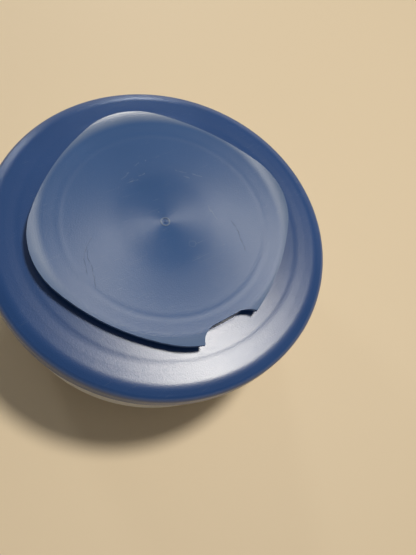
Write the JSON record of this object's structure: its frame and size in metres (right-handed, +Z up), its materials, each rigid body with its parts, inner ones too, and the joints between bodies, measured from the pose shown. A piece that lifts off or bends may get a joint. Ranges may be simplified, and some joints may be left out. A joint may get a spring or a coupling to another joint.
{
  "type": "chip and dip server",
  "caption": "Round bowl with a press-on ring lid, a dip cup that hangs in the lid's opening, and a thin lobed cover with a thumb notch that plugs the cup.",
  "frame": {"origin": "centre of the foot ring, on the surface that the bowl stands on", "axes": "+Z up through the middle of the bowl, lid, cup and cover; -Y towards the cover's thumb notch"},
  "size_m": [0.14, 0.14, 0.0642],
  "materials": {
    "frosted": "frosted translucent, satin",
    "blue": "satin, lightly scratched"
  },
  "bodies": {
    "bowl": {"bowl": "frosted"},
    "lid": {"lid": "blue"},
    "dip_cup": {"dip_cup": "frosted"},
    "dip_cover": {"dip_cover": "blue"}
  },
  "joints": [
    {"name": "lid_lift", "type": "slide", "parent": "bowl", "child": "lid", "axis": [0, 0, 1], "range_m": [0, 0.045]},
    {"name": "cup_lift", "type": "slide", "parent": "lid", "child": "dip_cup", "axis": [0, 0, 1], "range_m": [0, 0.04]},
    {"name": "cover_lift", "type": "slide", "parent": "dip_cup", "child": "dip_cover", "axis": [0, 0, 1], "range_m": [0, 0.025]}
  ]
}
